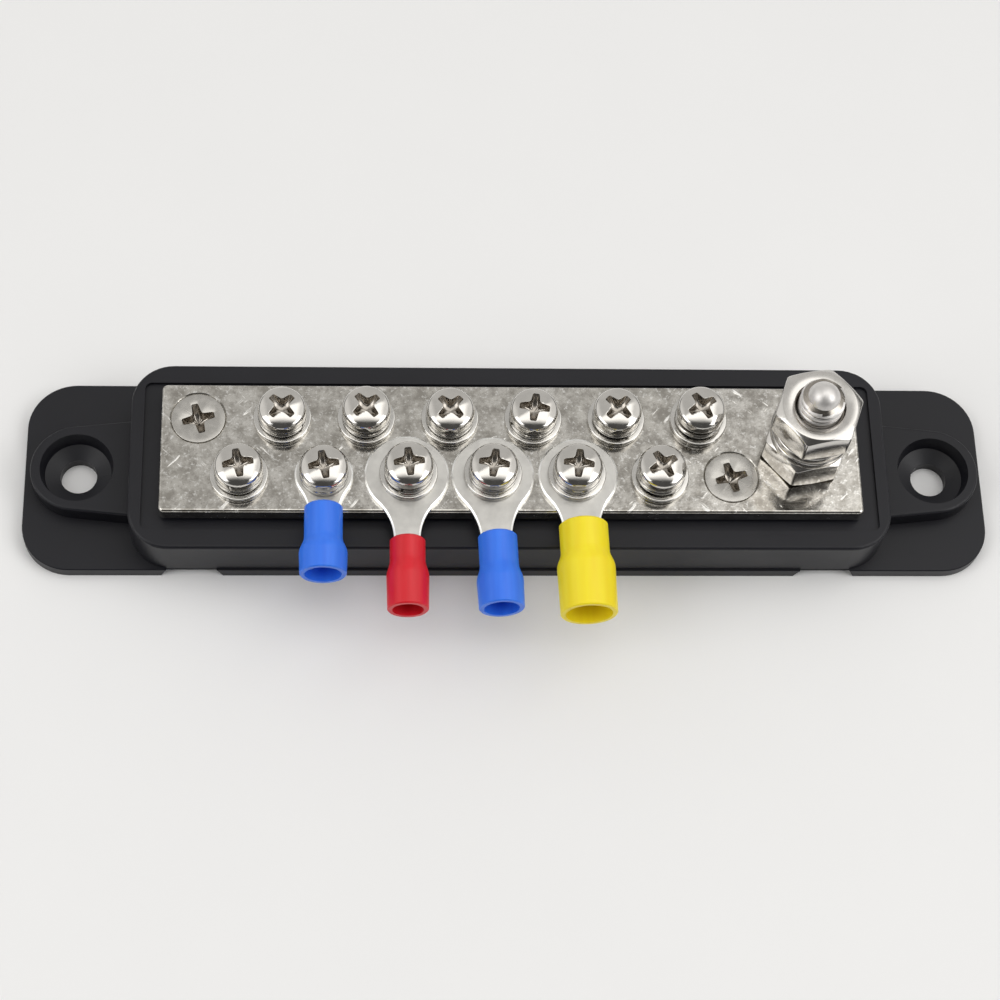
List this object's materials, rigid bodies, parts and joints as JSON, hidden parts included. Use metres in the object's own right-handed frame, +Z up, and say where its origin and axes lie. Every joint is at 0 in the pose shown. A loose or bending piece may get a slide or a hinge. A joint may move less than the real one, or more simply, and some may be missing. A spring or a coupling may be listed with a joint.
{
  "type": "bus bar",
  "caption": "Insulated power bus bar: plated bar with two rows of terminal screws and a main stud on a black base, with crimp ring terminals.",
  "frame": {"origin": "centre of the base's underside, midway between the two mounting holes", "axes": "+X along the bar towards the main stud, +Z up out of the mounting face, -Y towards the side the ring terminals leave"},
  "size_m": [0.141, 0.0415, 0.031],
  "materials": {
    "base_plastic": "satin moulded black thermoplastic",
    "bar_plate": "nickel-plated bar with fine scratches",
    "screw_steel": "bright nickel-plated steel",
    "washer_steel": "plated steel",
    "stud_steel": "satin stainless steel",
    "terminal_tin": "tinned copper, matt",
    "sleeve_blue": "soft satin vinyl",
    "sleeve_red": "soft satin vinyl",
    "sleeve_yellow": "soft satin vinyl"
  },
  "bodies": {
    "root": {"base": "base_plastic", "bus_bar": "bar_plate", "bar_screw_left": "screw_steel", "bar_screw_right": "screw_steel", "captive_nut_left": "screw_steel", "captive_nut_right": "screw_steel", "stud_bolt": "stud_steel", "stud_lower_nut": "stud_steel"},
    "washers_back_1": {"flat_washer_back_1": "washer_steel", "lock_washer_back_1": "washer_steel"},
    "screw_back_1": {"terminal_screw_back_1": "screw_steel"},
    "washers_back_2": {"flat_washer_back_2": "washer_steel", "lock_washer_back_2": "washer_steel"},
    "screw_back_2": {"terminal_screw_back_2": "screw_steel"},
    "washers_back_3": {"flat_washer_back_3": "washer_steel", "lock_washer_back_3": "washer_steel"},
    "screw_back_3": {"terminal_screw_back_3": "screw_steel"},
    "washers_back_4": {"flat_washer_back_4": "washer_steel", "lock_washer_back_4": "washer_steel"},
    "screw_back_4": {"terminal_screw_back_4": "screw_steel"},
    "washers_back_5": {"flat_washer_back_5": "washer_steel", "lock_washer_back_5": "washer_steel"},
    "screw_back_5": {"terminal_screw_back_5": "screw_steel"},
    "washers_back_6": {"flat_washer_back_6": "washer_steel", "lock_washer_back_6": "washer_steel"},
    "screw_back_6": {"terminal_screw_back_6": "screw_steel"},
    "washers_front_1": {"flat_washer_front_1": "washer_steel", "lock_washer_front_1": "washer_steel"},
    "screw_front_1": {"terminal_screw_front_1": "screw_steel"},
    "washers_front_2": {"lock_washer_front_2": "washer_steel"},
    "screw_front_2": {"terminal_screw_front_2": "screw_steel"},
    "washers_front_3": {"flat_washer_front_3": "washer_steel", "lock_washer_front_3": "washer_steel"},
    "screw_front_3": {"terminal_screw_front_3": "screw_steel"},
    "washers_front_4": {"flat_washer_front_4": "washer_steel", "lock_washer_front_4": "washer_steel"},
    "screw_front_4": {"terminal_screw_front_4": "screw_steel"},
    "washers_front_5": {"flat_washer_front_5": "washer_steel", "lock_washer_front_5": "washer_steel"},
    "screw_front_5": {"terminal_screw_front_5": "screw_steel"},
    "washers_front_6": {"flat_washer_front_6": "washer_steel", "lock_washer_front_6": "washer_steel"},
    "screw_front_6": {"terminal_screw_front_6": "screw_steel"},
    "stud_washers": {"stud_flat_washer": "stud_steel", "stud_lock_washer": "stud_steel"},
    "upper_nut": {"stud_upper_nut": "stud_steel"},
    "terminal_blue_small": {"ring_terminal_blue_small": "terminal_tin", "sleeve_blue_small": "sleeve_blue"},
    "terminal_red": {"ring_terminal_red": "terminal_tin", "sleeve_red": "sleeve_red"},
    "terminal_blue_large": {"ring_terminal_blue_large": "terminal_tin", "sleeve_blue_large": "sleeve_blue"},
    "terminal_yellow": {"ring_terminal_yellow": "terminal_tin", "sleeve_yellow": "sleeve_yellow"}
  },
  "joints": [
    {"name": "lift_back_1", "type": "slide", "parent": "root", "child": "washers_back_1", "axis": [0, 0, 1], "range_m": [0, 0.0035]},
    {"name": "turn_back_1", "type": "hinge", "parent": "washers_back_1", "child": "screw_back_1", "pos_m": [-0.033, 0.0045, 0.012], "axis": [0, 0, 1], "range_deg": [0, 1800]},
    {"name": "lift_back_2", "type": "slide", "parent": "root", "child": "washers_back_2", "axis": [0, 0, 1], "range_m": [0, 0.0035]},
    {"name": "turn_back_2", "type": "hinge", "parent": "washers_back_2", "child": "screw_back_2", "pos_m": [-0.021, 0.0045, 0.012], "axis": [0, 0, 1], "range_deg": [0, 1800]},
    {"name": "lift_back_3", "type": "slide", "parent": "root", "child": "washers_back_3", "axis": [0, 0, 1], "range_m": [0, 0.0035]},
    {"name": "turn_back_3", "type": "hinge", "parent": "washers_back_3", "child": "screw_back_3", "pos_m": [-0.009, 0.0045, 0.012], "axis": [0, 0, 1], "range_deg": [0, 1800]},
    {"name": "lift_back_4", "type": "slide", "parent": "root", "child": "washers_back_4", "axis": [0, 0, 1], "range_m": [0, 0.0035]},
    {"name": "turn_back_4", "type": "hinge", "parent": "washers_back_4", "child": "screw_back_4", "pos_m": [0.003, 0.0045, 0.012], "axis": [0, 0, 1], "range_deg": [0, 1800]},
    {"name": "lift_back_5", "type": "slide", "parent": "root", "child": "washers_back_5", "axis": [0, 0, 1], "range_m": [0, 0.0035]},
    {"name": "turn_back_5", "type": "hinge", "parent": "washers_back_5", "child": "screw_back_5", "pos_m": [0.015, 0.0045, 0.012], "axis": [0, 0, 1], "range_deg": [0, 1800]},
    {"name": "lift_back_6", "type": "slide", "parent": "root", "child": "washers_back_6", "axis": [0, 0, 1], "range_m": [0, 0.0035]},
    {"name": "turn_back_6", "type": "hinge", "parent": "washers_back_6", "child": "screw_back_6", "pos_m": [0.027, 0.0045, 0.012], "axis": [0, 0, 1], "range_deg": [0, 1800]},
    {"name": "lift_front_1", "type": "slide", "parent": "root", "child": "washers_front_1", "axis": [0, 0, 1], "range_m": [0, 0.0035]},
    {"name": "turn_front_1", "type": "hinge", "parent": "washers_front_1", "child": "screw_front_1", "pos_m": [-0.039, -0.0045, 0.012], "axis": [0, 0, 1], "range_deg": [0, 1800]},
    {"name": "lift_front_2", "type": "slide", "parent": "root", "child": "washers_front_2", "axis": [0, 0, 1], "range_m": [0, 0.0035]},
    {"name": "turn_front_2", "type": "hinge", "parent": "washers_front_2", "child": "screw_front_2", "pos_m": [-0.027, -0.0045, 0.012], "axis": [0, 0, 1], "range_deg": [0, 1800]},
    {"name": "lift_front_3", "type": "slide", "parent": "root", "child": "washers_front_3", "axis": [0, 0, 1], "range_m": [0, 0.0035]},
    {"name": "turn_front_3", "type": "hinge", "parent": "washers_front_3", "child": "screw_front_3", "pos_m": [-0.015, -0.0045, 0.012], "axis": [0, 0, 1], "range_deg": [0, 1800]},
    {"name": "lift_front_4", "type": "slide", "parent": "root", "child": "washers_front_4", "axis": [0, 0, 1], "range_m": [0, 0.0035]},
    {"name": "turn_front_4", "type": "hinge", "parent": "washers_front_4", "child": "screw_front_4", "pos_m": [-0.003, -0.0045, 0.012], "axis": [0, 0, 1], "range_deg": [0, 1800]},
    {"name": "lift_front_5", "type": "slide", "parent": "root", "child": "washers_front_5", "axis": [0, 0, 1], "range_m": [0, 0.0035]},
    {"name": "turn_front_5", "type": "hinge", "parent": "washers_front_5", "child": "screw_front_5", "pos_m": [0.009, -0.0045, 0.012], "axis": [0, 0, 1], "range_deg": [0, 1800]},
    {"name": "lift_front_6", "type": "slide", "parent": "root", "child": "washers_front_6", "axis": [0, 0, 1], "range_m": [0, 0.0035]},
    {"name": "turn_front_6", "type": "hinge", "parent": "washers_front_6", "child": "screw_front_6", "pos_m": [0.021, -0.0045, 0.012], "axis": [0, 0, 1], "range_deg": [0, 1800]},
    {"name": "stud_washers_lift", "type": "slide", "parent": "root", "child": "stud_washers", "axis": [0, 0, 1], "range_m": [0, 0.00381]},
    {"name": "upper_nut_turn", "type": "hinge", "parent": "stud_washers", "child": "upper_nut", "pos_m": [0.04205, 0, 0.022], "axis": [0, 0, 1], "range_deg": [0, 1080]},
    {"name": "swivel_blue_small", "type": "hinge", "parent": "root", "child": "terminal_blue_small", "pos_m": [-0.027, -0.0045, 0.012], "axis": [0, 0, 1], "range_deg": [-5, 5]},
    {"name": "swivel_red", "type": "hinge", "parent": "root", "child": "terminal_red", "pos_m": [-0.015, -0.0045, 0.012], "axis": [0, 0, 1], "range_deg": [-8, 8]},
    {"name": "swivel_blue_large", "type": "hinge", "parent": "root", "child": "terminal_blue_large", "pos_m": [-0.003, -0.0045, 0.012], "axis": [0, 0, 1], "range_deg": [-8, 8]},
    {"name": "swivel_yellow", "type": "hinge", "parent": "root", "child": "terminal_yellow", "pos_m": [0.009, -0.0045, 0.012], "axis": [0, 0, 1], "range_deg": [-8, 8]}
  ],
  "couplings": [
    {"joint": "turn_back_1", "follows": "lift_back_1", "rad_per_m": 8976},
    {"joint": "turn_back_2", "follows": "lift_back_2", "rad_per_m": 8976},
    {"joint": "turn_back_3", "follows": "lift_back_3", "rad_per_m": 8976},
    {"joint": "turn_back_4", "follows": "lift_back_4", "rad_per_m": 8976},
    {"joint": "turn_back_5", "follows": "lift_back_5", "rad_per_m": 8976},
    {"joint": "turn_back_6", "follows": "lift_back_6", "rad_per_m": 8976},
    {"joint": "turn_front_1", "follows": "lift_front_1", "rad_per_m": 8976},
    {"joint": "turn_front_2", "follows": "lift_front_2", "rad_per_m": 8976},
    {"joint": "turn_front_3", "follows": "lift_front_3", "rad_per_m": 8976},
    {"joint": "turn_front_4", "follows": "lift_front_4", "rad_per_m": 8976},
    {"joint": "turn_front_5", "follows": "lift_front_5", "rad_per_m": 8976},
    {"joint": "turn_front_6", "follows": "lift_front_6", "rad_per_m": 8976},
    {"joint": "upper_nut_turn", "follows": "stud_washers_lift", "rad_per_m": 4947.4}
  ]
}
